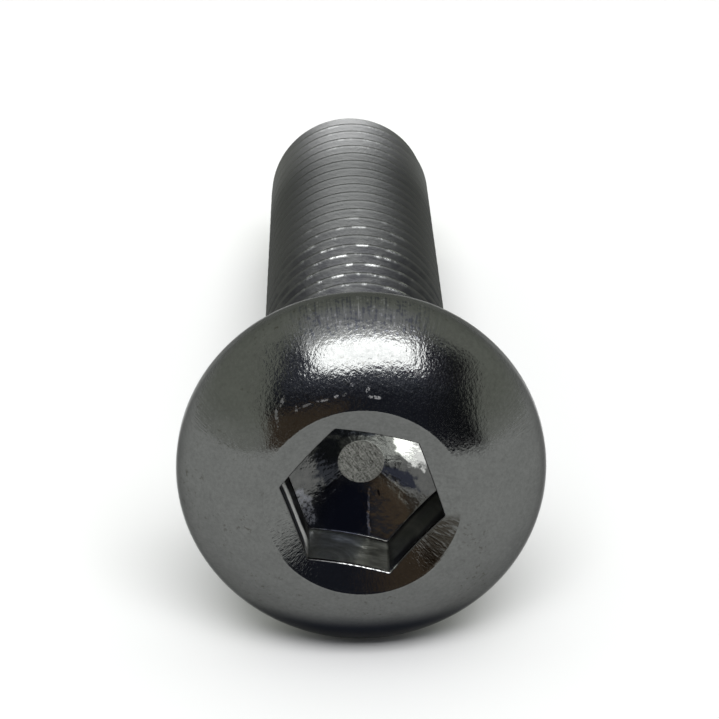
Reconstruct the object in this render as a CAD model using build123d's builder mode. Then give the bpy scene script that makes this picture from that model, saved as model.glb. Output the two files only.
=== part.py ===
from build123d import *
from math import asin, atan2, cos, hypot, radians, sin, tan
import os

# A hexagon socket button head screw, M12 x 50, threaded all along its shank.
# It is one cold-headed piece: the shank, the domed head and the socket are one solid.
# It lies as it comes to rest, on the rim of its head and the end of its shank.
# Sizes are in millimetres. Stations along the screw are counted from the bearing face
# under the head: positive towards the tip, negative into the head.

# ---------------------------------------------------------------- driving dimensions

# Shank. The thread is M12 with a 1.75 mm pitch, and the cylinder is its crest.
THREAD_CREST_DIAMETER = 11.7
SHANK_LENGTH = 50.0
TIP_TAPER_LENGTH = 2.8
TIP_END_DIAMETER = 9.7
UNDERHEAD_FILLET_RADIUS = 0.6

# Head. The dome would meet the rim's cylinder at the shoulder, which is rounded off.
HEAD_DIAMETER = 21.0
HEAD_HEIGHT = 6.25
DOME_RADIUS = 9.0
SHOULDER_HEIGHT = 2.55
SHOULDER_ROUND_RADIUS = 2.85
RIM_HEIGHT = 1.2
BEARING_FACE_DIAMETER = 20.1

# Socket: a shallow countersink, six driving flats, and a floor left by the punch.
COUNTERSINK_DIAMETER = 11.2
COUNTERSINK_ANGLE = 138.0
SOCKET_ACROSS_FLATS = 8.03
SOCKET_CORNER_DEPTH = 4.2
SOCKET_FLOOR_DEPTH = 5.65
SOCKET_FLOOR_DIAMETER = 2.6
SOCKET_TURN = -11.2

# ---------------------------------------------------------------- derived dimensions

shank_radius = THREAD_CREST_DIAMETER / 2
tip_radius = TIP_END_DIAMETER / 2
head_radius = HEAD_DIAMETER / 2
bearing_radius = BEARING_FACE_DIAMETER / 2
countersink_radius = COUNTERSINK_DIAMETER / 2
floor_radius = SOCKET_FLOOR_DIAMETER / 2

# The hexagon's corners stand further out than its flats.
socket_corner_radius = SOCKET_ACROSS_FLATS / 2 / cos(radians(30))

# The countersink's cone runs on to a point far inside the socket.
countersink_apex_depth = countersink_radius / tan(radians(COUNTERSINK_ANGLE / 2))

# The rim's underside curls in to the bearing face on an arc that starts along the screw.
rim_fall = head_radius - bearing_radius
rim_arc_radius = (RIM_HEIGHT**2 + rim_fall**2) / (2 * rim_fall)

# ---------------------------------------------------------------- how the screw lies

# A level surface touches the rim's underside and the ring where the tip taper starts.
contact_span = SHANK_LENGTH - TIP_TAPER_LENGTH + RIM_HEIGHT
contact_drop = head_radius - rim_arc_radius - shank_radius
lean = atan2(contact_drop, contact_span) + asin(rim_arc_radius / hypot(contact_drop, contact_span))

# The rim rests at height zero, and the screw's length is centred on the origin.
axis_height = rim_arc_radius + (head_radius - rim_arc_radius) * cos(lean) - RIM_HEIGHT * sin(lean)
head_reach = HEAD_HEIGHT * cos(lean) + countersink_radius * sin(lean)
tip_reach = SHANK_LENGTH * cos(lean) + tip_radius * sin(lean)
bearing_centre = Vector(0, (head_reach - tip_reach) / 2, axis_height)

tip_direction = Vector(0, cos(lean), -sin(lean))
screw_axis = Axis(bearing_centre, tip_direction)

# Local X runs along the screw towards its tip, and local Y out from its axis.
section_plane = Plane(origin=bearing_centre, x_dir=tip_direction, z_dir=(1, 0, 0))

# Local Z runs out of the head, and local X is level.
head_top_centre = bearing_centre - tip_direction * HEAD_HEIGHT
head_top_plane = Plane(origin=head_top_centre, x_dir=(1, 0, 0), z_dir=-tip_direction)

# ---------------------------------------------------------------- socket punch

# The form that the hexagonal punch leaves: six flats, with a blunt conical nose.
corner_station = SOCKET_CORNER_DEPTH - HEAD_HEIGHT
floor_station = SOCKET_FLOOR_DEPTH - HEAD_HEIGHT

with BuildPart() as socket_form:
    with BuildSketch(head_top_plane):
        RegularPolygon(
            radius=SOCKET_ACROSS_FLATS / 2,
            side_count=6,
            major_radius=False,
            rotation=SOCKET_TURN,
        )
    extrude(amount=-SOCKET_FLOOR_DEPTH)

    with BuildSketch(section_plane):
        with BuildLine():
            Polyline(
                (-HEAD_HEIGHT, 0),
                (-HEAD_HEIGHT, socket_corner_radius),
                (corner_station, socket_corner_radius),
                (floor_station, floor_radius),
                (floor_station, 0),
                close=True,
            )
        make_face()
    revolve(axis=screw_axis, mode=Mode.INTERSECT)

# ---------------------------------------------------------------- the screw

crown_edge = (-HEAD_HEIGHT, countersink_radius)
shoulder = (-SHOULDER_HEIGHT, head_radius)
rim_edge = (-RIM_HEIGHT, head_radius)
bearing_edge = (0, bearing_radius)

with BuildPart() as button_head_screw:
    # Half of the lengthwise section, turned about the screw's axis.
    with BuildSketch(section_plane) as half_section:
        with BuildLine():
            RadiusArc(crown_edge, shoulder, DOME_RADIUS)
            Line(shoulder, rim_edge)
            TangentArc(rim_edge, bearing_edge, tangent=(1, 0))
            Polyline(
                bearing_edge,
                (0, shank_radius),
                (SHANK_LENGTH - TIP_TAPER_LENGTH, shank_radius),
                (SHANK_LENGTH, tip_radius),
                (SHANK_LENGTH, 0),
                (-HEAD_HEIGHT, 0),
                crown_edge,
            )
        make_face()
        shoulder_corner = half_section.vertices().sort_by_distance(shoulder)[0]
        fillet(shoulder_corner, radius=SHOULDER_ROUND_RADIUS)
    revolve(axis=screw_axis)

    # The fillet that takes the load from the shank into the head.
    shank_rings = button_head_screw.edges().filter_by(
        lambda edge: edge.geom_type == GeomType.CIRCLE and abs(edge.radius - shank_radius) < 0.001
    )
    fillet(shank_rings.sort_by(screw_axis)[0], radius=UNDERHEAD_FILLET_RADIUS)

    # The countersink that leads the key into the socket.
    with BuildSketch(section_plane):
        with BuildLine():
            Polyline(
                crown_edge,
                (countersink_apex_depth - HEAD_HEIGHT, 0),
                (-HEAD_HEIGHT, 0),
                close=True,
            )
        make_face()
    revolve(axis=screw_axis, mode=Mode.SUBTRACT)

    # The hexagon socket.
    add(socket_form.part, mode=Mode.SUBTRACT)

button_head_screw.part.label = "button_head_screw"

os.makedirs("parts", exist_ok=True)
export_step(button_head_screw.part, "parts/button_head_screw.step")
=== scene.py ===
# %% [markdown]
# # A button head screw in polished steel
#
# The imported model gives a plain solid: a domed head, a six-sided socket and a smooth shank.
# This lesson replaces it with one closed mesh that has rounded edges, a rolled thread
# and polished steel, and then lights it softly on a pale floor.
# The scene is in metres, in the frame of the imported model. Most numbers below are
# millimetres, and MM turns them into metres.

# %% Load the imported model
import math
import bpy
import bmesh
from mathutils import Matrix, Vector


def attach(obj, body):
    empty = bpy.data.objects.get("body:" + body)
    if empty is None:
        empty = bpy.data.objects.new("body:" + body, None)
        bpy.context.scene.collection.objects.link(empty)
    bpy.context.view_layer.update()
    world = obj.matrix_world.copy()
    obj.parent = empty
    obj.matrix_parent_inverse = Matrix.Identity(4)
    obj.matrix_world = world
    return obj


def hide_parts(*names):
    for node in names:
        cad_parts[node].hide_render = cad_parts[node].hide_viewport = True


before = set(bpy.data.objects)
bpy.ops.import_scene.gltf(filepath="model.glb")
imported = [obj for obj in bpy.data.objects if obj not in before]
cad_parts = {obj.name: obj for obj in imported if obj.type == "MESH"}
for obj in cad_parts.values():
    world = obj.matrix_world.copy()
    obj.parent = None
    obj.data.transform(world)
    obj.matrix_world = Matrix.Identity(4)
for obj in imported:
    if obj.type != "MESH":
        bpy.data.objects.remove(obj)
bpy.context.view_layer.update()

MM = 0.001
screw_node = "button_head_screw"

# %% [markdown]
# ## The screw's own frame
#
# The screw lies on the rim of its head and the end of its shank, so its axis leans a little.
# It is far easier to draw it upright: local Z points out of the head, local X is level,
# and zero is the middle of the bearing face under the head.
# One matrix then carries every finished point into the model's frame.

# %% The matrix that lays the screw down
LEAN = math.radians(5.4977)
SHANK_LENGTH = 50.0
bearing_centre = Vector((0, -21.7384, 10.3451)) * MM

tip_direction = Vector((0, math.cos(LEAN), -math.sin(LEAN)))
level = Vector((1, 0, 0))
out_of_head = -tip_direction
above = out_of_head.cross(level)
lay_down = Matrix((level, above, out_of_head)).transposed().to_4x4()
lay_down.translation = bearing_centre
tip = lay_down @ Vector((0, 0, -SHANK_LENGTH * MM))
print("the tip is", round(tip.z / MM, 2), "mm above the floor")

# %% [markdown]
# ## Camera
#
# The camera looks down on the head at about 28 degrees, from some 14 cm away,
# so the shank behind the head looks short. A long lens frames it tightly.
# It stands a degree to the left, which makes the shank lean to the left as well.

# %% Place the camera
look_down = 27.934
look_right = 1.0014
camera_data = bpy.data.cameras.new("camera")
camera_data.lens = 122.4
camera_data.sensor_width = 36
camera_data.clip_start = 0.01
camera = bpy.data.objects.new("camera", camera_data)
camera.location = Vector((-2.191, -142.933, 80.955)) * MM
camera.rotation_euler = (math.radians(90 - look_down), 0, math.radians(-look_right))
bpy.context.scene.collection.objects.link(camera)
bpy.context.scene.camera = camera
bpy.context.scene.view_settings.view_transform = "Standard"
print("the camera is", round((camera.location - bearing_centre).length / MM), "mm from the head")

# %% [markdown]
# ## Shader helpers
#
# The room, the materials and the thread are all made of nodes, and a few small helpers keep
# that short. One adds a node and sets or links its inputs. The others add one step of
# arithmetic, take a direction apart, or make a soft step or a mix of two colours.
# A colour is written as red, green and blue, and the first helper adds the fourth number.

# %% Helpers that add a node
def plug(tree, socket, value):
    """Link another node's output to the socket, or set the socket's own value."""
    if isinstance(value, bpy.types.NodeSocket):
        tree.links.new(value, socket)
    elif socket.type == "RGBA":
        socket.default_value = (*value, 1)
    else:
        socket.default_value = value


def add_node(tree, kind, settings=None, **inputs):
    """A new node. Its inputs are given by name, or by i and a number."""
    node = tree.nodes.new(kind)
    for name, value in (settings or {}).items():
        setattr(node, name, value)
    for name, value in inputs.items():
        numbered = name[0] == "i" and name[1:].isdigit()
        key = int(name[1:]) if numbered else name.replace("_", " ")
        plug(tree, node.inputs[key], value)
    return node


print("two helpers add a node and plug its inputs")

# %% Helpers for arithmetic
def add_math(tree, operation, *values, clamp=False):
    settings = {"operation": operation, "use_clamp": clamp}
    inputs = {f"i{k}": value for k, value in enumerate(values)}
    return add_node(tree, "ShaderNodeMath", settings, **inputs).outputs[0]


def plus(tree, one, other):
    return add_math(tree, "ADD", one, other)


def minus(tree, one, other):
    return add_math(tree, "SUBTRACT", one, other)


def over(tree, one, other):
    return add_math(tree, "DIVIDE", one, other)


def times(tree, first, *others):
    """The product of two or more values."""
    product = first
    for value in others:
        product = add_math(tree, "MULTIPLY", product, value)
    return product


print("five helpers do arithmetic")

# %% Helpers for directions, soft steps and colours
def split(tree, vector):
    """The three numbers of a vector."""
    return add_node(tree, "ShaderNodeSeparateXYZ", i0=vector).outputs[:]


def join(tree, x, y, z):
    return add_node(tree, "ShaderNodeCombineXYZ", X=x, Y=y, Z=z).outputs[0]


def soft_step(tree, value, start, end, low=0.0, high=1.0):
    """Goes smoothly from low to high while the value goes from start to end."""
    settings = {"interpolation_type": "SMOOTHSTEP"}
    node = add_node(tree, "ShaderNodeMapRange", settings, i0=value, i1=start, i2=end, i3=low, i4=high)
    return node.outputs[0]


def mix_colours(tree, share, one, other):
    """A share of 0 gives the one colour, and 1 gives the other."""
    node = add_node(tree, "ShaderNodeMix", {"data_type": "RGBA"}, i0=share, i6=one, i7=other)
    return node.outputs[2]


print("four more helpers are ready")

# %% [markdown]
# ## Floor, room and lamp
#
# Polished steel has hardly a look of its own: it shows the room.
# The floor and the walls are pale, and one soft lamp hangs above the head.
# Around that lamp the room is dark, as it is behind a camera in any studio,
# and this dark patch is what draws the shadowy crescent round the highlight.
# Real walls could be built, but a room painted on the sky by direction is quick to change.
# Its dark part holds something wooden low on the left and a bluish haze in the middle,
# and the ceiling above the lamp is bright.

# %% Lay the floor
floor_mesh = bpy.data.meshes.new("floor")
floor_reach = 20.0
corners = [(x * floor_reach, y * floor_reach, 0) for x, y in ((-1, -1), (1, -1), (1, 1), (-1, 1))]
floor_mesh.from_pydata(corners, [], [(0, 1, 2, 3)])
floor = bpy.data.objects.new("floor", floor_mesh)
bpy.context.scene.collection.objects.link(floor)
print("the floor is", 2 * floor_reach, "m wide")

# %% Paint the floor
# Seen straight or in steel, the floor is a little paler than in the light that it scatters.
floor_tone = (0.86, 0.86, 0.86)
floor_tone_seen = (0.895, 0.895, 0.895)
floor_paint = bpy.data.materials.new("floor_paint")
floor_paint.use_nodes = True
paint = floor_paint.node_tree
floor_shader = paint.nodes["Principled BSDF"]
floor_shader.inputs["Roughness"].default_value = 0.9
floor_shader.inputs["Specular IOR Level"].default_value = 0.1
rays = add_node(paint, "ShaderNodeLightPath").outputs
seen = add_math(paint, "MAXIMUM", rays["Is Camera Ray"], rays["Is Glossy Ray"])
seen = add_math(paint, "MAXIMUM", seen, rays["Is Transmission Ray"])
pale = mix_colours(paint, seen, floor_tone, floor_tone_seen)
paint.links.new(pale, floor_shader.inputs["Base Color"])
floor_mesh.materials.append(floor_paint)
print("the floor's paint has", len(paint.nodes), "nodes")

# %% Read each direction of the room
world = bpy.data.worlds.new("room")
bpy.context.scene.world = world
world.use_nodes = True
room = world.node_tree
room.nodes.clear()
direction = add_node(room, "ShaderNodeTexCoord").outputs["Generated"]
side, away, up = split(room, direction)
pitch = add_math(room, "ARCTAN2", up, times(room, away, -1.0))
pitch = times(room, pitch, 180 / math.pi)
off_middle = add_math(room, "ABSOLUTE", side)
print("a direction is read as its side, and its pitch in degrees above the floor")

# %% Outline the dark part behind the camera
# Its left side draws in towards the floor, and again up by the lamp.
wider = soft_step(room, pitch, 57, 45, 0.0, 0.045)
narrower = soft_step(room, pitch, 28, 0, 0.0, 0.075)
left_edge = plus(room, minus(room, side, narrower), wider)
left_side = soft_step(room, left_edge, -0.67, -0.59)
right_side = soft_step(room, side, 0.87, 0.76)
below_top = soft_step(room, pitch, 86, 70)
behind_camera = soft_step(room, away, 0.0, -0.1)
patch = times(room, left_side, right_side, below_top, behind_camera)
print("the dark part runs from the floor to a pitch of 86 degrees")

# %% Colour the dark part and the walls
grey_dark = (0.030, 0.031, 0.036)
blue_dark = (0.050, 0.055, 0.078)
brown_wood = (0.185, 0.135, 0.095)
pale_haze = (0.23, 0.245, 0.32)
high_plaster = (0.61, 0.635, 0.56)
low_plaster = (0.80, 0.82, 0.77)

middle = soft_step(room, off_middle, 0.75, 0.30)
dark = mix_colours(room, middle, grey_dark, blue_dark)
slanted = minus(room, side, times(room, pitch, 0.0075))
wood = times(room, soft_step(room, slanted, -0.19, -0.24), soft_step(room, pitch, 27, 19))
dark = mix_colours(room, wood, dark, brown_wood)
haze = times(room, middle, soft_step(room, pitch, 28, 46))
dark = mix_colours(room, haze, dark, pale_haze)
near_floor = soft_step(room, up, 0.30, 0.0)
plaster = mix_colours(room, near_floor, high_plaster, low_plaster)
wall = mix_colours(room, patch, plaster, dark)
print("the walls and the dark part have", len(room.nodes), "nodes")

# %% Brighten the part above the lamp
ceiling_tone = (0.96, 0.97, 1.0)
ceiling_glare = (2.9, 2.9, 2.9)
above_lamp = soft_step(room, off_middle, 0.55, 0.30)
glow = times(room, above_lamp, soft_step(room, pitch, 62, 68), soft_step(room, pitch, 140, 95))
ceiling = mix_colours(room, soft_step(room, pitch, 84, 66), ceiling_tone, ceiling_glare)
wall = mix_colours(room, glow, wall, ceiling)
background = add_node(room, "ShaderNodeBackground", Color=wall, Strength=1.0)
add_node(room, "ShaderNodeOutputWorld", Surface=background.outputs[0])
print("the room has", len(room.nodes), "nodes")

# %% Hang the lamp
lamp_distance = 2.0
lamp_radiance = 7.2
lamp_turn = math.radians(3)
lamp_pitch = math.radians(58.5)
half_width = math.radians(24)
half_height = math.radians(10.5)
level_reach = math.cos(lamp_turn)
towards = -level_reach * math.cos(lamp_pitch)
upwards = level_reach * math.sin(lamp_pitch)
lamp_direction = Vector((math.sin(lamp_turn), towards, upwards))
lamp_data = bpy.data.lights.new("soft_lamp", "AREA")
lamp_data.shape = "RECTANGLE"
lamp_data.size = 2 * lamp_distance * math.tan(half_width)
lamp_data.size_y = 2 * lamp_distance * math.tan(half_height)
lamp_data.energy = lamp_radiance * math.pi * lamp_data.size * lamp_data.size_y
lamp = bpy.data.objects.new("soft_lamp", lamp_data)
lamp.location = bearing_centre + lamp_direction * lamp_distance
lamp.rotation_euler = lamp_direction.to_track_quat("Z", "Y").to_euler()
bpy.context.scene.collection.objects.link(lamp)
print("the lamp gives", round(lamp_data.energy, 2), "W")

# %% [markdown]
# ## Points and rings
#
# The head is a turned form except for its socket. A Boolean could cut the socket out of it,
# but it would leave long thin faces that shade badly. Instead every ring of points has as
# many points as the socket's six-sided outline. Near the socket they crowd at the corners,
# and towards the rim they spread out evenly, ready to meet the shank.
# A ring is given as a point of the lengthwise section: how far from the axis, and how high.

# %% The six-sided outline
FLAT_TO_FLAT = 8.03
SOCKET_TURN = math.radians(48.8)


def spoke(angle, length):
    return Vector((math.cos(angle), math.sin(angle))) * length


def socket_outline(corner_radius=0.15, corner_steps=4, flat_steps=20):
    """Angle and radius of each point of a hexagon with rounded corners."""
    reach = (FLAT_TO_FLAT / 2 - corner_radius) / math.cos(math.radians(30))
    points = []
    for corner in range(6):
        middle = SOCKET_TURN + math.radians(60 * corner)
        for step in range(corner_steps + 1):
            turn = math.radians(-30 + 60 * step / corner_steps)
            points.append(spoke(middle, reach) + spoke(middle + turn, corner_radius))
        half = middle + math.radians(30)
        here = spoke(middle, reach) + spoke(half, corner_radius)
        there = spoke(middle + math.radians(60), reach) + spoke(half, corner_radius)
        for step in range(1, flat_steps):
            points.append(here.lerp(there, (1 - math.cos(math.pi * step / flat_steps)) / 2))
    first = math.atan2(points[0].y, points[0].x)
    angles = [first + (math.atan2(p.y, p.x) - first) % (2 * math.pi) for p in points]
    return angles, [p.length for p in points]


crowded_angles, outline_radii = socket_outline()
AROUND = len(crowded_angles)
even_angles = [crowded_angles[0] + 2 * math.pi * k / AROUND for k in range(AROUND)]
print("each ring has", AROUND, "points")
print("the socket is", round(2 * max(outline_radii), 2), "mm across its corners")

# %% Rings and arcs
rings = []


def add_ring(section_point, evenness, finish):
    """section_point is (radius, height) in mm, or gives it for a radius of the outline."""
    made = []
    for crowded, even, outline in zip(crowded_angles, even_angles, outline_radii):
        r, z = section_point(outline) if callable(section_point) else section_point
        a = crowded + (even - crowded) * evenness
        made.append((r * math.cos(a) * MM, r * math.sin(a) * MM, z * MM))
    rings.append((made, finish))


def add_arc(centre, radius, start, end, steps, finish):
    """An arc of the section. Angles are in degrees from straight out of the head."""
    for k in range(steps + 1):
        a = math.radians(start + (end - start) * k / steps)
        add_ring((centre[0] + radius * math.sin(a), centre[1] + radius * math.cos(a)), 1, finish)


print("two ring makers are ready")

# %% Rounded corners
def rounded(before, corner, after, radius, share):
    """The point that far, from 0 to 1, along the arc that rounds a corner of the section."""
    before, corner, after = Vector(before), Vector(corner), Vector(after)
    u, v = (before - corner).normalized(), (after - corner).normalized()
    half = u.angle(v) / 2
    centre = corner + (u + v).normalized() * radius / math.sin(half)
    start = corner + u * radius / math.tan(half) - centre
    end = corner + v * radius / math.tan(half) - centre
    return centre + start.normalized().slerp(end.normalized(), share) * radius


def add_rounded(corner_of, radius, steps, evenness, finish):
    """Rings along a rounded corner. corner_of gives its three points for a radius of the outline."""
    for k in range(steps + 1):
        add_ring(lambda outline, k=k: rounded(*corner_of(outline), radius, k / steps), evenness, finish)


print("a third ring maker is ready")

# %% [markdown]
# ## The socket
#
# A hexagonal punch with a blunt nose is driven into the cold head. It leaves six flats,
# a conical floor and a small flat where the nose was ground off.
# The rings climb from that flat, out over the floor, up the walls and over the countersink.
# Real edges are rounded by a tenth of a millimetre, and that rounding catches the light.
# Between two rounded edges, the plain rings keep clear of both.

# %% Finishes, in the order of the material slots, and the socket's sizes
NOSE, FLOOR, WALL, MOUTH, SINK, DOME, UNDERSIDE, THREAD, TIP = range(9)
CROWN_R, CROWN_Z = 5.6, 6.25
NOSE_R, NOSE_Z = 1.3, CROWN_Z - 5.65
FLOOR_SLOPE = 1.45 / (FLAT_TO_FLAT / math.sqrt(3) - NOSE_R)
SINK_SLOPE = math.tan(math.radians(21))
EDGE_ROUNDING = 0.12
ROOT_ROUNDING = 0.04
CROWN_ROUNDING = 0.15


def floor_z(r):
    return NOSE_Z + (r - NOSE_R) * FLOOR_SLOPE


def sink_z(r):
    return CROWN_Z - (CROWN_R - r) * SINK_SLOPE


flat_middle = FLAT_TO_FLAT / 2
print("the flats are", round(sink_z(flat_middle) - floor_z(flat_middle), 2), "mm high")

# %% Rings of the nose's flat and the socket's floor
def between(first, last, share):
    return first + (last - first) * share


for r in (0.3, 0.65, 0.95, 1.18):
    add_ring((r, NOSE_Z), 1, NOSE)
add_rounded(lambda o: ((0, NOSE_Z), (NOSE_R, NOSE_Z), (4, floor_z(4))), EDGE_ROUNDING, 2, 1, NOSE)
for share in (0.02, 0.12, 0.25, 0.4, 0.55, 0.7, 0.83, 0.92, 0.97):
    def across_floor(outline, share=share):
        r = between(NOSE_R + 0.05, outline - 0.06, share)
        return r, floor_z(r)
    add_ring(across_floor, 1 - share, FLOOR)
add_rounded(lambda o: ((NOSE_R, NOSE_Z), (o, floor_z(o)), (o, sink_z(o))), ROOT_ROUNDING, 2, 0, FLOOR)
print("the socket's floor has", len(rings), "rings")

# %% Rings of the walls, the mouth and the countersink
for share in (0.02, 0.25, 0.5, 0.75, 0.98):
    add_ring(lambda o, s=share: (o, between(floor_z(o) + 0.05, sink_z(o) - 0.09, s)), 0, WALL)
add_rounded(lambda o: ((o, floor_z(o)), (o, sink_z(o)), (CROWN_R, CROWN_Z)), EDGE_ROUNDING, 4, 0, MOUTH)
for share in (0.03, 0.2, 0.4, 0.6, 0.8, 0.95):
    def across_sink(outline, share=share):
        r = between(outline + 0.12, CROWN_R - 0.1, share)
        return r, sink_z(r)
    add_ring(across_sink, share, SINK)
print("the socket has", len(rings), "rings")

# %% [markdown]
# ## Dome, rim and underside
#
# The dome is an arc of 9 mm radius that starts at the countersink's edge with a slope of
# 17 degrees, and a tighter shoulder arc carries it round to the rim.
# Below the rim the head curls in to its flat bearing face, and a fillet leads to the shank.
# Each part of that section is a run of rings, so one skin covers it without a seam.

# %% Rings of the dome
DOME_CENTRE, DOME_R = (2.952, -2.352), 9.0
SHOULDER_CENTRE, SHOULDER_R = (7.65, 1.617), 2.85

slope = math.radians(17.11)
crown_tangent = (CROWN_R + math.cos(slope), CROWN_Z - math.sin(slope))
add_rounded(lambda o: ((o, sink_z(o)), (CROWN_R, CROWN_Z), crown_tangent), CROWN_ROUNDING, 3, 1, DOME)
add_arc(DOME_CENTRE, DOME_R, 17.9, 49.4, 18, DOME)
add_arc(SHOULDER_CENTRE, SHOULDER_R, 49.81, 90, 14, DOME)
print("socket and dome have", len(rings), "rings")

# %% Rings from the rim to the shank
UNDERSIDE_CENTRE, UNDERSIDE_R = (8.675, 1.2), 1.825
BEARING_R, BLANK_R, FILLET_R, SHANK_START = 10.05, 5.43, 0.6, 0.8
FILLET_STEPS = 6

add_arc(UNDERSIDE_CENTRE, UNDERSIDE_R, 90, 129, 8, UNDERSIDE)
bearing_edge = ((BEARING_R + 0.33, 0.29), (BEARING_R, 0), (8, 0))
add_rounded(lambda o: bearing_edge, EDGE_ROUNDING, 2, 1, UNDERSIDE)
for r in (9.8, 8.6, 7.4, 6.2):
    add_ring((r, 0), 1, UNDERSIDE)
for k in range(FILLET_STEPS + 1):
    a = math.radians(90 * k / FILLET_STEPS)
    fillet_point = (BLANK_R + FILLET_R * (1 - math.sin(a)), -FILLET_R * (1 - math.cos(a)))
    add_ring(fillet_point, 1, UNDERSIDE)
add_ring((BLANK_R, -SHANK_START), 1, THREAD)
print("the head has", len(rings), "rings")

# %% Skin the rings
head_mesh = bpy.data.meshes.new("head")
points = [p for made, _ in rings for p in made]
pole = len(points)
points.append((0, 0, NOSE_Z * MM))
faces = [(pole, k, (k + 1) % AROUND) for k in range(AROUND)]
finishes = [NOSE] * AROUND
for row in range(len(rings) - 1):
    for k in range(AROUND):
        a, b = row * AROUND + k, row * AROUND + (k + 1) % AROUND
        faces.append((a, a + AROUND, b + AROUND, b))
        finishes.append(rings[row + 1][1])
head_mesh.from_pydata(points, [], faces)
head_mesh.polygons.foreach_set("material_index", finishes)
print("the head has", len(faces), "faces")

# %% [markdown]
# ## The rolled thread
#
# The thread is an M12 thread with a pitch of 1.75 mm, and it follows one rule all the way:
# its height goes once through the same profile in every pitch, and starts one pitch later
# for every turn. A Screw modifier could sweep that profile, but it can't fade the thread out
# at the head or at the tip. Geometry Nodes bend a flat grid into the shape instead.
# Each row of the grid follows the helix, so crests and roots are clean lines.
# At the end the crests fall away along a soft curve, so that a nut starts easily,
# and a few last rows close the tip.

# %% Helpers that add geometry nodes
def add_input(tree, name, value):
    """A named input, a whole number where its value is one."""
    kind = "NodeSocketInt" if isinstance(value, int) else "NodeSocketFloat"
    socket = tree.interface.new_socket(name=name, in_out="INPUT", socket_type=kind)
    socket.default_value = value
    return socket


def add_profile(tree, value, knots):
    """A curve through the knots, straight between them."""
    node = add_node(tree, "ShaderNodeFloatCurve", i1=value)
    curve = node.mapping.curves[0]
    while len(curve.points) > 2:
        curve.points.remove(curve.points[1])
    curve.points[0].location, curve.points[1].location = knots[0], knots[-1]
    for knot in knots[1:-1]:
        curve.points.new(*knot)
    for point in curve.points:
        point.handle_type = "VECTOR"
    node.mapping.update()
    return node.outputs[0]


print("two more node helpers are ready")

# %% The thread's profile
# Share of the pitch, and share of the thread's height: a narrow crest, a flank, a round root.
thread_profile = [(0, 0.93), (0.025, 0.98), (0.0625, 1), (0.10, 0.98), (0.125, 0.93), (0.160, 0.82),
                  (0.410, 0.12), (0.448, 0.05), (0.50, 0.01), (0.5625, 0), (0.625, 0.01),
                  (0.677, 0.05), (0.715, 0.12), (0.965, 0.82), (1, 0.93)]
ROWS = len(thread_profile) - 1
CAP_ROWS = 5
row_spacing = [(k / ROWS, knot[0]) for k, knot in enumerate(thread_profile)]
print("every turn has", ROWS, "rows")

# %% The thread's tree and its sizes
PITCH = 1.75
turns = math.ceil((SHANK_LENGTH - SHANK_START) / PITCH) + 1
sizes = {
    "Pitch": PITCH,
    "Crest Radius": 5.85,
    "Root Radius": 4.80,
    "Blank Radius": BLANK_R,
    "Thread Start": SHANK_START,
    "Thread End": SHANK_LENGTH,
    "Run Out Length": 1.5 * PITCH,
    "Taper Length": 2.8,
    "Tip Radius": 4.85,
    "Taper Rounding": 0.67,
    "First Angle": crowded_angles[0],
    "Unevenness": 0.012,
    "Points Around": AROUND,
    "Thread Rows": turns * ROWS + 1,
    "Seed": 7.0,
}
thread = bpy.data.node_groups.new("rolled_thread", "GeometryNodeTree")
thread.interface.new_socket(name="Geometry", in_out="OUTPUT", socket_type="NodeSocketGeometry")
sockets = {name: add_input(thread, name, value) for name, value in sizes.items()}
print("the thread makes", turns, "turns")

# %% The grid, and the row and column of each point
group = add_node(thread, "NodeGroupInput")
size = {name: group.outputs[name] for name in sizes}
columns = plus(thread, size["Points Around"], 1)
all_rows = plus(thread, size["Thread Rows"], CAP_ROWS)
grid = add_node(thread, "GeometryNodeMeshGrid", Vertices_X=columns, Vertices_Y=all_rows)
index = add_node(thread, "GeometryNodeInputIndex").outputs[0]
column = add_math(thread, "FLOOR", over(thread, plus(thread, index, 0.5), all_rows))
row = minus(thread, index, times(thread, column, all_rows))
last_row = minus(thread, size["Thread Rows"], 1)
thread_row = add_math(thread, "MINIMUM", row, last_row)
cap_row = add_math(thread, "MAXIMUM", minus(thread, row, last_row), 0)
cap_left = minus(thread, 1, over(thread, cap_row, CAP_ROWS))
print("the tree has", len(thread.nodes), "nodes so far")

# %% Where on the helix each point sits
round_share = over(thread, column, size["Points Around"])
turn = add_math(thread, "FLOOR", over(thread, plus(thread, thread_row, 0.5), ROWS))
within = over(thread, minus(thread, thread_row, times(thread, turn, ROWS)), ROWS)
wound = plus(thread, turn, add_profile(thread, within, row_spacing))
advance = times(thread, minus(thread, wound, round_share), size["Pitch"])
station = plus(thread, advance, size["Thread Start"])
station = add_math(thread, "MINIMUM", station, size["Thread End"])
station = add_math(thread, "MAXIMUM", station, size["Thread Start"])
print("the tree has", len(thread.nodes), "nodes so far")

# %% The thread's height there
NUDGE = 0.00001  # keeps a point at the very start of a pitch from falling into the one before
wound_there = over(thread, minus(thread, station, size["Thread Start"]), size["Pitch"])
phase = add_math(thread, "FRACT", plus(thread, plus(thread, wound_there, round_share), NUDGE))
height = add_profile(thread, phase, thread_profile)
full = minus(thread, size["Crest Radius"], size["Root Radius"])
threaded = plus(thread, size["Root Radius"], times(thread, height, full))
run_out_end = plus(thread, size["Thread Start"], size["Run Out Length"])
formed = soft_step(thread, station, size["Thread Start"], run_out_end)
rise = times(thread, minus(thread, threaded, size["Blank Radius"]), formed)
radius = plus(thread, size["Blank Radius"], rise)
print("the tree has", len(thread.nodes), "nodes so far")

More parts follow.
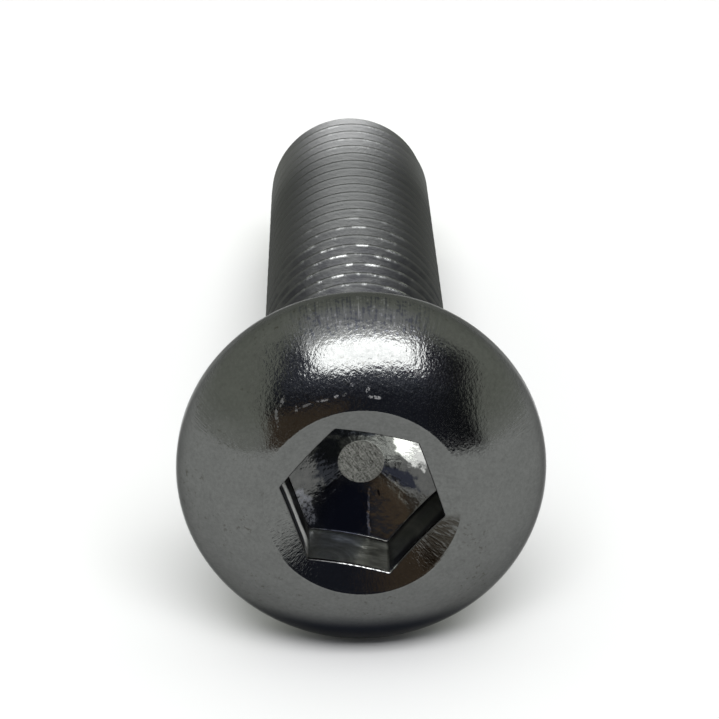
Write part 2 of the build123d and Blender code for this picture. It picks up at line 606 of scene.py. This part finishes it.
# %% The rounded taper and the closed tip
taper_start = minus(thread, size["Thread End"], size["Taper Length"])
past_start = minus(thread, station, taper_start)
taper_share = add_math(thread, "DIVIDE", past_start, size["Taper Length"], clamp=True)
bulge = times(thread, minus(thread, 1, taper_share), size["Taper Rounding"])
fall = times(thread, taper_share, minus(thread, 1, bulge))
taper_drop = minus(thread, size["Crest Radius"], size["Tip Radius"])
taper = minus(thread, size["Crest Radius"], times(thread, fall, taper_drop))
radius = add_math(thread, "MINIMUM", radius, taper)
radius = times(thread, radius, cap_left)
print("the tree has", len(thread.nodes), "nodes so far")

# %% Small dents, read from a noise on a plain cylinder
NOISE_RADIUS = 6
angle = plus(thread, size["First Angle"], times(thread, round_share, 2 * math.pi))
circle_x = add_math(thread, "COSINE", angle)
circle_y = add_math(thread, "SINE", angle)
place = join(thread, times(thread, circle_x, NOISE_RADIUS), times(thread, circle_y, NOISE_RADIUS), station)
dents = add_node(thread, "ShaderNodeTexNoise", {"noise_dimensions": "4D"}, Vector=place,
                 W=size["Seed"], Scale=0.7, Detail=3.0).outputs[0]
dent = times(thread, minus(thread, dents, 1.0), size["Unevenness"])
dent = times(thread, dent, formed, cap_left)
radius = plus(thread, radius, dent)
print("the tree has", len(thread.nodes), "nodes so far")

# %% Bend the grid and finish the tree
WELD = 0.0005 * MM
x = times(thread, radius, circle_x, MM)
y = times(thread, radius, circle_y, MM)
bent = join(thread, x, y, times(thread, station, -MM))
thread_steel = bpy.data.materials.new("thread_steel")
moved = add_node(thread, "GeometryNodeSetPosition", Geometry=grid.outputs[0], Position=bent)
welded = add_node(thread, "GeometryNodeMergeByDistance", Geometry=moved.outputs[0], Distance=WELD)
real = add_node(thread, "GeometryNodeRealizeInstances", Geometry=welded.outputs[0])
coated = add_node(thread, "GeometryNodeSetMaterial", Geometry=real.outputs[0], Material=thread_steel)
add_node(thread, "NodeGroupOutput", Geometry=coated.outputs[0])
print("the whole tree has", len(thread.nodes), "nodes")

# %% Run the tree once and keep its mesh
seed_mesh = bpy.data.meshes.new("thread_seed")
thread_seed = bpy.data.objects.new("thread_seed", seed_mesh)
bpy.context.scene.collection.objects.link(thread_seed)
roller = thread_seed.modifiers.new("thread", "NODES")
roller.node_group = thread
for name, value in sizes.items():
    roller[sockets[name].identifier] = value
depsgraph = bpy.context.evaluated_depsgraph_get()
thread_mesh = bpy.data.meshes.new_from_object(thread_seed.evaluated_get(depsgraph))
bpy.data.objects.remove(thread_seed)
print("the thread has", len(thread_mesh.vertices), "points and", len(thread_mesh.polygons), "faces")

# %% [markdown]
# ## One closed skin
#
# The real screw is a single piece of steel, so head and thread are welded where they meet.
# A closed skin also gives a clean file to print or cut. Then all normals are turned outwards,
# and the finished mesh is laid down into the model's frame.

# %% Weld head and thread
SLIVER = 0.0001 * MM
skin = bmesh.new()
skin.from_mesh(head_mesh)
first_new = len(skin.faces)
skin.from_mesh(thread_mesh)
skin.faces.ensure_lookup_table()
tip_line = -(SHANK_LENGTH - 0.001) * MM
for face in skin.faces[first_new:]:
    face.material_index = TIP if face.calc_center_median().z < tip_line else THREAD
bmesh.ops.remove_doubles(skin, verts=skin.verts, dist=WELD)
bmesh.ops.dissolve_degenerate(skin, edges=skin.edges, dist=SLIVER)
bmesh.ops.recalc_face_normals(skin, faces=skin.faces)
open_edges = sum(1 for edge in skin.edges if len(edge.link_faces) != 2)
print("the skin has", open_edges, "open edges")

# %% Lay the skin down and shade it
skin.transform(lay_down)
volume = skin.calc_volume() / MM ** 3
screw_mesh = bpy.data.meshes.new("screw")
skin.to_mesh(screw_mesh)
skin.free()
screw_mesh.shade_smooth()
screw_mesh.set_sharp_from_angle(angle=math.radians(50))
triangles = sum(len(p.vertices) - 2 for p in screw_mesh.polygons)
print("the screw has", triangles, "triangles and a volume of", round(volume), "mm3")

# %% Put the screw in place
screw = bpy.data.objects.new("screw", screw_mesh)
bpy.context.scene.collection.objects.link(screw)
print("the screw's size, in mm:", [round(d / MM, 2) for d in screw.dimensions])

# %% [markdown]
# ## Polished steel
#
# The steel is tumbled in a drum until it is glossy, with tiny pits, and its colour is set dark.
# All finishes read the same place on the screw: millimetres in its own frame, with Z along
# the axis, so that a streak can run out from the middle or along the shank.
# Every bump is a height in millimetres, and the heights are added before one Bump node.

# %% Helpers that find a place on the screw
def mapped(tree, place, location=(0, 0, 0), rotation=(0, 0, 0), scale=(1, 1, 1)):
    """The place, read from a frame that is moved, turned and resized."""
    return add_node(tree, "ShaderNodeMapping", {"vector_type": "TEXTURE"}, Vector=place,
                    Location=location, Rotation=rotation, Scale=scale).outputs[0]


def screw_place(tree):
    """The place in the screw's own frame, in millimetres."""
    here = add_node(tree, "ShaderNodeTexCoord").outputs["Object"]
    return mapped(tree, here, bearing_centre, lay_down.to_euler(), (MM, MM, MM))


def stretched(tree, place, scale, turn=0.0):
    """The place, turned by degrees and then squeezed, so that a noise on it becomes streaks."""
    return mapped(tree, place, rotation=(0, 0, math.radians(turn)), scale=[1 / c for c in scale])


def vector_length(tree, vector):
    return add_node(tree, "ShaderNodeVectorMath", {"operation": "LENGTH"}, i0=vector).outputs[1]


def spokes(tree, place, reach, along):
    """A place for streaks that run straight out from the axis, and the distance from it.
    A larger reach fits more of them round the circle, and a larger along makes them longer."""
    x, y, _ = split(tree, place)
    flat = join(tree, x, y, 0.0)
    length = vector_length(tree, flat)
    unit = add_node(tree, "ShaderNodeVectorMath", {"operation": "NORMALIZE"}, i0=flat).outputs[0]
    x, y, _ = split(tree, unit)
    return join(tree, times(tree, x, reach), times(tree, y, reach), over(tree, length, along)), length


print("the place helpers are ready")

# %% Noise, patches and sums of heights
def noise(tree, place, size, detail=2.0, roughness=0.5):
    """Noise with grains of a given size in millimetres, from -0.5 to 0.5."""
    value = add_node(tree, "ShaderNodeTexNoise", Vector=place, Scale=1 / size, Detail=detail,
                     Roughness=roughness)
    return minus(tree, value.outputs[0], 0.5)


def patchy(tree, place, grain, start, end, low=0.0):
    """From low to one, in patches. The grain is the noise's size, detail and roughness."""
    return soft_step(tree, noise(tree, place, *grain), start, end, low, 1.0)


def weighed(tree, *pairs):
    """The sum of heights, each times its weight."""
    total = None
    for value, weight in pairs:
        part = times(tree, value, weight)
        total = part if total is None else plus(tree, total, part)
    return total


print("the noise helpers are ready")

# %% Start a steel, and close it
STEEL = (0.130, 0.133, 0.130)
STEEL_DARK = [c * 0.88 for c in STEEL]
STEEL_LIGHT = [c * 1.12 for c in STEEL]
EDGE_TINT = (0.45, 0.45, 0.45)


def start_steel(name, roughness):
    """Plain polished steel: its material, tree and shader, and the place on the screw."""
    material = bpy.data.materials.get(name) or bpy.data.materials.new(name)
    material.use_nodes = True
    tree = material.node_tree
    shader = tree.nodes["Principled BSDF"]
    look = {"Base Color": STEEL, "Metallic": 1, "Roughness": roughness, "Specular Tint": EDGE_TINT}
    for label, value in look.items():
        plug(tree, shader.inputs[label], value)
    return material, tree, shader, screw_place(tree)


def close_bump(tree, shader, height):
    bump = add_node(tree, "ShaderNodeBump", Height=height, Strength=1.0, Distance=MM)
    tree.links.new(bump.outputs[0], shader.inputs["Normal"])


def coat(tree, shader, colour, roughness=None):
    """Link the colour, and the roughness where that varies too."""
    tree.links.new(colour, shader.inputs["Base Color"])
    if roughness is not None:
        tree.links.new(roughness, shader.inputs["Roughness"])


def mottled_steel(tree, place, cloud_size, mottle_size):
    """Plain steel, a little darker and lighter in soft clouds and small specks."""
    clouds = noise(tree, place, cloud_size, 3.0, 0.7)
    mottle = noise(tree, place, mottle_size, 3.0, 0.7)
    tone = weighed(tree, (clouds, 1.2), (mottle, 2.4), (0.5, 1.0))
    return mix_colours(tree, tone, STEEL_DARK, STEEL_LIGHT)


print("plain steel is", STEEL)

# %% [markdown]
# ## Soft spots
#
# A smear, a scratch or a rubbed place is a soft spot at one place on the screw.
# It could be painted by hand, but a formula needs no picture and stays sharp at any size.
# The place is moved, turned and squeezed until the spot's ellipse becomes a circle,
# and the distance from its middle gives the soft edge.

# %% A soft spot
ANY_DEPTH = 1000


def spot(tree, place, middle, half_sizes, turn=0.0, ragged=0.0):
    """One inside an ellipse about a point of local X and Y in mm, and zero outside it."""
    moved = mapped(tree, place, (*middle, 0), (0, 0, math.radians(turn)), (*half_sizes, ANY_DEPTH))
    far = vector_length(tree, moved)
    if ragged:
        far = weighed(tree, (far, 1.0), (noise(tree, place, 0.5, 3.0, 0.6), ragged))
    return soft_step(tree, far, 1.25, 0.75)


print("the spot helper is ready")

# %% [markdown]
# ## The dome's finish
#
# Seen close, the dome is not quite smooth: shallow waves bend its reflections, a fine grain frays their
# edges, and near the rim it shows short streaks from the drum. Where the rim faces up, those streaks are
# also painted dark and light, as painted reflections. The steel is mottled, with a few dark specks, two
# hairline scratches, a row of short scuffs beside the socket, and a painted shade where it meets the
# floor.
# Every mark is a small formula, so it can be moved by a tenth of a millimetre.

# %% Painted contact shade near the floor
PAINTED_CONTACT_SHADE = (0.022, 0.024, 0.030)
CONTACT_SHADE_FULL = 2.1
CONTACT_SHADE_ENDS = 3.9


def add_contact_shade(tree, colour):
    """The colour, darkened where the head stands on the floor: a painted shade for the floor's contact
    shadow seen in the steel.
    """
    # Painted shade: the steel gets darker towards the floor, where it mirrors the contact shadow.
    here = add_node(tree, "ShaderNodeTexCoord").outputs["Object"]
    floor_height = split(tree, here)[2]
    painted_shade = soft_step(tree, floor_height, CONTACT_SHADE_ENDS * MM, CONTACT_SHADE_FULL * MM)
    return mix_colours(tree, painted_shade, colour, PAINTED_CONTACT_SHADE)


print("the grime reaches", CONTACT_SHADE_ENDS, "mm up the head")

# %% Streaks from the drum, and painted reflections in them
STREAK_DARK_REFLECTION = (0.075, 0.079, 0.092)
STREAK_LIGHT_REFLECTION = (0.21, 0.212, 0.22)


def drum_streaks(tree, place):
    """The height of the streaks, and where they are: near the rim."""
    streaks_place, length = spokes(tree, place, 9.0, 6.0)
    near_rim = soft_step(tree, length, 8.6, 9.8)
    return times(tree, noise(tree, streaks_place, 0.11, 2.0), near_rim), near_rim


def add_streak_reflections(tree, place, streaks, near_rim, colour):
    """The colour, with dark and light streaks painted where the rim faces up, as painted reflections of
    the drum streaks.
    """
    x, y, _ = split(tree, place)
    at_middle = soft_step(tree, add_math(tree, "ABSOLUTE", x), 5.0, 2.5)
    upper = times(tree, near_rim, soft_step(tree, y, 8.0, 9.2), at_middle)
    drawn = weighed(tree, (streaks, 1.0), (noise(tree, place, 0.22, 2.0), 1.0))
    dark = times(tree, upper, soft_step(tree, drawn, 0.0, 0.2))
    colour = mix_colours(tree, dark, colour, STREAK_DARK_REFLECTION)
    light = times(tree, upper, soft_step(tree, drawn, -0.12, -0.28))
    return mix_colours(tree, light, colour, STREAK_LIGHT_REFLECTION)


print("the streaks start 8.6 mm from the axis")

# %% Specks, scratches and scuffs
SPECK = (0.085, 0.085, 0.078)
# Of each mark: its middle, its half sizes, its turn in degrees, and how grey it is.
SCRATCHES = (((-0.15, 10.15), (0.025, 0.30), 2, 0.26), ((-0.95, 10.22), (0.025, 0.18), 2, 0.20))
SCUFFS = (((-4.66, 5.05), (0.09, 0.62), 4, 0.17), ((-4.36, 5.88), (0.09, 0.35), -25, 0.15),
          ((-3.60, 5.58), (0.09, 0.20), 5, 0.17), ((-3.12, 5.79), (0.48, 0.07), 22, 0.13),
          ((-2.15, 6.12), (0.36, 0.09), 10, 0.20), ((-1.42, 6.34), (0.17, 0.09), 5, 0.28),
          ((-0.98, 6.45), (0.14, 0.08), 30, 0.12), ((-0.55, 6.95), (0.12, 0.10), 0, 0.26),
          ((0.30, 6.70), (0.10, 0.20), -35, 0.26), ((0.62, 6.32), (0.40, 0.09), -8, 0.30))


def add_specks(tree, place, colour):
    specks = patchy(tree, place, (0.30, 3.0, 0.7), 0.10, 0.16)
    specks = times(tree, specks, patchy(tree, place, (3.5, 1.0), -0.02, 0.10))
    return mix_colours(tree, specks, colour, SPECK)


def add_marks(tree, place, colour, rough):
    """The colour and the roughness, with the scratches and scuffs in them."""
    for middle, half_sizes, turn, grey in SCRATCHES:
        scratch = spot(tree, place, middle, half_sizes, turn)
        colour = mix_colours(tree, scratch, colour, (grey, grey, grey))
    broken = patchy(tree, place, (0.16, 2.0, 0.6), -0.10, 0.08, 0.35)
    for middle, half_sizes, turn, grey in SCUFFS:
        scuff = times(tree, spot(tree, place, middle, half_sizes, turn, 1.2), broken)
        colour = mix_colours(tree, scuff, colour, (grey, grey, grey))
        rough = add_math(tree, "MAXIMUM", rough, times(tree, scuff, 0.45))
    return colour, rough


print("the dome has", len(SCRATCHES), "scratches and", len(SCUFFS), "scuffs")

# %% Dome steel
def dome_steel():
    material, tree, shader, place = start_steel("dome_steel", 0.13)
    waves = noise(tree, place, 2.2, 1.0)
    peel = noise(tree, stretched(tree, place, (1, 0.65, 1)), 0.18, 2.0, 0.6)
    peel = times(tree, peel, soft_step(tree, split(tree, place)[1], 2.5, 6.0, 0.35, 1.0))
    streaks, near_rim = drum_streaks(tree, place)
    close_bump(tree, shader, weighed(tree, (waves, 0.040), (peel, 0.015), (streaks, 0.010)))

    colour = mottled_steel(tree, place, 1.5, 0.22)
    # Painted reflection: dark and light streaks on the upper rim.
    colour = add_streak_reflections(tree, place, streaks, near_rim, colour)
    colour = add_specks(tree, place, colour)
    # Painted shade near the floor.
    colour = add_contact_shade(tree, colour)
    rough = soft_step(tree, noise(tree, place, 0.10, 1.0), -0.2, 0.2, 0.07, 0.19)
    colour, rough = add_marks(tree, place, colour, rough)
    coat(tree, shader, colour, rough)
    return material


print("defined dome_steel")

# %% [markdown]
# ## The countersink's finish
#
# The countersink is pressed, not tumbled. It has a finer grain than the dome, low streaks
# where the metal flowed straight out from the socket, and a brown stain at its lower right.
# The mouth of the socket is rubbed by every key that goes in. On its lower side it is painted much lighter
# than elsewhere, a painted sheen for the highlight along that edge, and a noise breaks the line up in
# places.

# %% Countersink and mouth steel
STAIN = (0.040, 0.036, 0.030)
MOUTH_DARK = (0.075, 0.075, 0.075)
MOUTH_RUBBED_SHEEN = (0.50, 0.51, 0.50)


def sink_steel():
    material, tree, shader, place = start_steel("sink_steel", 0.08)
    streaks = noise(tree, spokes(tree, place, 5.0, 2.5)[0], 0.10, 2.0)
    flow = noise(tree, spokes(tree, place, 9.0, 2.0)[0], 0.25, 3.0, 0.6)
    peel = noise(tree, place, 0.14, 3.0, 0.6)
    peel = times(tree, peel, soft_step(tree, split(tree, place)[0], 2.5, -0.5, 0.4, 1.0))
    close_bump(tree, shader, weighed(tree, (flow, 0.016), (streaks, 0.005), (peel, 0.008)))

    colour = mottled_steel(tree, place, 0.8, 0.20)
    stain = spot(tree, place, (4.45, -2.5), (1.0, 1.75), -26, 0.5)
    stain = times(tree, stain, soft_step(tree, flow, -0.22, 0.04, 0.2, 1.0))
    colour = mix_colours(tree, stain, colour, STAIN)
    coat(tree, shader, colour)
    return material


def mouth_steel():
    material, tree, shader, place = start_steel("mouth_steel", 0.25)
    close_bump(tree, shader, times(tree, noise(tree, place, 0.25, 2.0), 0.010))
    # Painted sheen: the lower side of the mouth is painted light, partly rubbed steel.
    rubbed_sheen = spot(tree, place, (0.4, -4.3), (1.7, 0.9), -12, 0.5)
    rubbed_sheen = times(tree, rubbed_sheen, patchy(tree, place, (0.30, 3.0, 0.7), -0.10, 0.06, 0.06))
    colour = mix_colours(tree, rubbed_sheen, MOUTH_DARK, MOUTH_RUBBED_SHEEN)
    coat(tree, shader, colour)
    return material


print("defined sink_steel and mouth_steel")

# %% [markdown]
# ## Inside the socket
#
# The punch shears the flats clean, so they are brighter than the rest, with faint arcs that it dragged
# along them. Dark bands are painted across the left and right flats, and the left flat is painted bright
# between them: painted reflections. On the left the steel is torn.
# The conical floor is squeezed into low ripples. Spots painted on it stand for reflections: a painted
# highlight, dark painted smears, and low down a painted black reflection that ends in a ragged edge with a
# painted bright line, beside a painted grey patch. There the steel is a little glossier.
# The flat at its middle is dull and scratched both ways.

# %% Wall steel
WALL_DARK, WALL_LIGHT = (0.40, 0.42, 0.39), (0.82, 0.84, 0.79)
WALL_SHADE = (0.13, 0.135, 0.13)
WALL_PAINTED_SHINE = (0.97, 0.97, 0.96)


def swung_arcs(tree, place):
    """A place for arcs about a point near the mouth."""
    swing = mapped(tree, place, location=(-1.9, 0, 5.2), scale=(1, ANY_DEPTH, 1.1))
    return join(tree, vector_length(tree, swing), 0.0, 0.0)


def wall_steel():
    material, tree, shader, place = start_steel("wall_steel", 0.33)
    marks = noise(tree, stretched(tree, place, (1, 1, 2)), 1.6, 2.0)
    close_bump(tree, shader, weighed(tree, (marks, 0.05), (noise(tree, place, 0.15, 2.0), 0.002)))
    arcs = noise(tree, swung_arcs(tree, place), 0.45, 3.0, 0.6)
    tone = weighed(tree, (arcs, 2.2), (noise(tree, place, 0.9, 2.0), 0.6), (0.5, 1.0))
    colour = mix_colours(tree, tone, WALL_DARK, WALL_LIGHT)

    x, _, z = split(tree, place)
    height = weighed(tree, (z, 1.0), (noise(tree, place, 2.0, 2.0), 1.2))
    left = soft_step(tree, x, -2.9, -3.3)
    right = soft_step(tree, x, 1.4, 1.8)
    corner = times(tree, soft_step(tree, x, -0.3, 0.7, 0.0, 0.85), soft_step(tree, x, 1.9, 1.4, 0.65, 1.0))
    colour = mix_colours(tree, corner, colour, WALL_SHADE)
    # Painted reflection: the left flat is painted bright, and dark bands are painted across the left and
    # right flats.
    colour = mix_colours(tree, times(tree, left, 0.75), colour, WALL_PAINTED_SHINE)
    for where, start, end, grey in ((left, 3.9, 3.4, 0.03), (left, 4.7, 5.0, 0.05),
                                    (right, 2.6, 2.1, 0.10), (right, 4.5, 5.1, 0.10)):
        painted_band = times(tree, where, soft_step(tree, height, start, end))
        colour = mix_colours(tree, painted_band, colour, (grey, grey, grey * 1.1))
    torn = times(tree, left, soft_step(tree, height, 3.4, 3.8))
    coat(tree, shader, colour, soft_step(tree, torn, 0, 1, 0.33, 0.75))
    return material


print("defined wall_steel")

# %% Painted reflections on the socket's floor
FLOOR_DARK, FLOOR_LIGHT = (0.045, 0.047, 0.047), (0.135, 0.135, 0.132)
PAINTED_DARK_REFLECTION = (0.025, 0.027, 0.032)
# Each mark is a painted reflection. Of each mark: its middle, its half sizes, its turn in degrees, how
# ragged it is, and its colour.
FLOOR_PAINTED_REFLECTIONS = (((2.75, 1.05), (1.25, 0.62), -50, 2.0, (0.60, 0.60, 0.59)),
               ((2.15, -0.80), (1.05, 0.50), -14, 2.2, (0.022, 0.024, 0.034)),
               ((1.5, -2.7), (1.1, 1.6), 0, 1.6, (0.17, 0.168, 0.155)),
               ((-1.9, 0.3), (0.75, 1.9), 0, 1.6, PAINTED_DARK_REFLECTION),
               ((-0.5, 2.1), (1.5, 0.4), -8, 1.6, PAINTED_DARK_REFLECTION),
               ((1.0, -1.8), (0.07, 0.18), 15, 1.6, PAINTED_DARK_REFLECTION))


def add_floor_reflections(tree, place, colour):
    for middle, half_sizes, turn, ragged, paint in FLOOR_PAINTED_REFLECTIONS:
        mark = spot(tree, place, middle, half_sizes, turn, ragged)
        colour = mix_colours(tree, mark, colour, paint)
    return colour


print("the socket's floor has", len(FLOOR_PAINTED_REFLECTIONS), "marks")

# %% Painted black, grey and bright reflections low on the socket's floor
PAINTED_BLACK_REFLECTION = (0.050, 0.054, 0.070)
PAINTED_GREY_REFLECTION = (0.26, 0.265, 0.29)
PAINTED_BRIGHT_EDGE = (0.80, 0.79, 0.74)
BLACK_REFLECTION_ENDS = 0.42


def add_black_reflection(tree, place, edge, colour):
    """The colour, with a painted black reflection to the left of the edge."""
    low = spot(tree, place, (-0.9, -2.8), (1.6, 1.5), 0, 0.8)
    return mix_colours(tree, times(tree, soft_step(tree, edge, 0.02, -0.03), low), colour, PAINTED_BLACK_REFLECTION)


def add_bright_edge(tree, place, edge, colour):
    """The colour, with a broken bright line painted along the edge, a painted reflection."""
    along_edge = soft_step(tree, add_math(tree, "ABSOLUTE", edge), 0.08, 0.04)
    bright_edge_line = times(tree, along_edge, spot(tree, place, (0.4, -2.9), (0.5, 1.1), 0, 2.0),
                 patchy(tree, place, (0.25, 2.0, 0.6), -0.12, 0.08, 0.2))
    return mix_colours(tree, bright_edge_line, colour, PAINTED_BRIGHT_EDGE)


print("the oil ends", BLACK_REFLECTION_ENDS, "mm right of the middle")

# %% Floor steel
def floor_steel():
    material, tree, shader, place = start_steel("floor_steel", 0.14)
    ripples = noise(tree, spokes(tree, place, 3.0, 1.5)[0], 0.5, 2.0)
    dents = noise(tree, place, 0.7, 2.0)
    peel = noise(tree, place, 0.15, 2.0, 0.6)
    close_bump(tree, shader, weighed(tree, (ripples, 0.02), (dents, 0.035), (peel, 0.007)))

    tone = plus(tree, noise(tree, place, 0.5, 3.0, 0.7), 0.5)
    colour = mix_colours(tree, tone, FLOOR_DARK, FLOOR_LIGHT)
    # Painted reflections: bright and dark spots.
    colour = add_floor_reflections(tree, place, colour)
    from_edge = minus(tree, split(tree, place)[0], BLACK_REFLECTION_ENDS)
    edge = weighed(tree, (from_edge, 1.0), (noise(tree, place, 0.45, 4.0, 0.7), 0.45))
    # Painted reflection: black to the left of a ragged edge.
    colour = add_black_reflection(tree, place, edge, colour)
    # Painted reflection: a grey patch.
    scale = spot(tree, place, (-3.15, -2.3), (0.38, 1.0), 25, 1.6)
    scale = times(tree, scale, patchy(tree, place, (0.22, 3.0, 0.7), -0.12, 0.10, 0.15))
    colour = mix_colours(tree, scale, colour, PAINTED_GREY_REFLECTION)
    # Painted reflection: a bright line along the edge.
    colour = add_bright_edge(tree, place, edge, colour)

    film = spot(tree, place, (-0.4, -2.9), (1.1, 1.5), 0, 0.4)
    coat(tree, shader, colour, weighed(tree, (film, -0.08), (scale, 0.22), (0.14, 1.0)))
    return material


print("defined floor_steel")

# %% Nose steel
NOSE_DARK, NOSE_LIGHT = (0.05, 0.05, 0.045), (0.25, 0.25, 0.235)


def nose_steel():
    material, tree, shader, place = start_steel("nose_steel", 0.40)
    scratches = noise(tree, stretched(tree, place, (6, 1, 1), 37), 0.6, 2.0, 0.6)
    crossing = noise(tree, stretched(tree, place, (6, 1, 1), -35), 0.5, 2.0, 0.6)
    grain = noise(tree, place, 0.10, 2.0, 0.7)
    close_bump(tree, shader, weighed(tree, (scratches, 0.02), (crossing, 0.006), (grain, 0.010)))
    marks = weighed(tree, (scratches, 2.0), (crossing, 0.7), (grain, 2.4))
    colour = mix_colours(tree, plus(tree, marks, 0.5), NOSE_DARK, NOSE_LIGHT)
    coat(tree, shader, colour)
    return material


print("defined nose_steel")

# %% [markdown]
# ## Underside, thread and tip
#
# The underside is turned, so faint rings run round it, and it is mottled as the dome is, with the same
# painted shade near the floor. A rolled thread comes dull from the dies and is scuffed along the shank.
# Its far end is painted brighter, a painted sheen. Near the head it is darker between the crests in
# patches, and the crests on top are rubbed bright in short dashes, painted lighter as glints.
# The end of the shank was sheared off the wire, so it is rougher than the rest.

# %% Underside steel
def underside_steel():
    material, tree, shader, place = start_steel("underside_steel", 0.2)
    turned = noise(tree, spokes(tree, place, 1.5, 0.1)[0], 1.0, 2.0)
    peel = noise(tree, place, 0.25, 2.0, 0.6)
    close_bump(tree, shader, weighed(tree, (turned, 0.004), (peel, 0.010)))
    # Painted shade near the floor, as on the dome.
    colour = add_contact_shade(tree, mottled_steel(tree, place, 1.5, 0.22))
    coat(tree, shader, colour)
    return material


print("defined underside_steel")

# %% Thread steel
THREAD_DULL, THREAD_FAR_SHEEN = (0.084, 0.086, 0.084), (0.160, 0.162, 0.160)
THREAD_DARK_PATCH = (0.048, 0.049, 0.052)
THREAD_RUBBED_GLINT = (0.28, 0.285, 0.28)


def dark_between_crests(tree, place, length, along):
    """Darker patches near the head, kept off the crests."""
    dark_patches = patchy(tree, stretched(tree, place, (1, 1, 1.6)), (1.2, 3.0, 0.6), -0.25, 0.20)
    near_head = soft_step(tree, along, -27, -17)
    return times(tree, dark_patches, near_head, soft_step(tree, length, 5.80, 5.70))


def rubbed_glint_dashes(tree, place, length, along):
    """Short rubbed dashes on the crests at both ends of the shank, where they face up, painted lighter as
    glints.
    """
    on_crests = soft_step(tree, length, 5.64, 5.78)
    dashes = patchy(tree, stretched(tree, place, (1, 1, 0.6)), (0.8, 3.0, 0.6), -0.02, 0.13)
    ends = plus(tree, soft_step(tree, along, -30, -16), soft_step(tree, along, -38, -42, 0.0, 0.35))
    facing_up = soft_step(tree, split(tree, place)[1], 4.3, 5.2)
    return times(tree, on_crests, dashes, ends, facing_up)


def thread_finish():
    material, tree, shader, place = start_steel("thread_steel", 0.36)
    scuffs = noise(tree, stretched(tree, place, (1, 1, 5)), 0.6, 3.0, 0.6)
    grain = noise(tree, place, 0.15, 2.0, 0.6)
    close_bump(tree, shader, weighed(tree, (scuffs, 0.013), (grain, 0.008)))

    length = spokes(tree, place, 6.0, 1.0)[1]
    along = split(tree, place)[2]
    # Painted sheen: the far end of the thread is painted brighter.
    colour = mix_colours(tree, soft_step(tree, along, -37, -46), THREAD_DULL, THREAD_FAR_SHEEN)
    colour = mix_colours(tree, dark_between_crests(tree, place, length, along), colour, THREAD_DARK_PATCH)
    rubbed_sheen = rubbed_glint_dashes(tree, place, length, along)
    # Painted glints: rubbed crests on top are painted lighter.
    colour = mix_colours(tree, rubbed_sheen, colour, THREAD_RUBBED_GLINT)
    coat(tree, shader, colour, soft_step(tree, rubbed_sheen, 0, 1, 0.43, 0.22))
    return material


print("defined thread_finish")

# %% Tip steel
def tip_steel():
    material, tree, shader, place = start_steel("tip_steel", 0.38)
    shear = noise(tree, stretched(tree, place, (1, 5, 1), 23), 0.5, 3.0)
    close_bump(tree, shader, times(tree, shear, 0.05))
    return material


print("defined tip_steel")

# %% Give the screw its finishes
finishes = [nose_steel, floor_steel, wall_steel, mouth_steel, sink_steel, dome_steel, underside_steel,
            thread_finish, tip_steel]
for finish in finishes:
    screw_mesh.materials.append(finish())
print("the screw wears", len(screw_mesh.materials), "finishes")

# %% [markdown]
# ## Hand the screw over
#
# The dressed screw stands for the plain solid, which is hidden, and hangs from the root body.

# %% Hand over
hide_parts(screw_node)
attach(screw, "root")
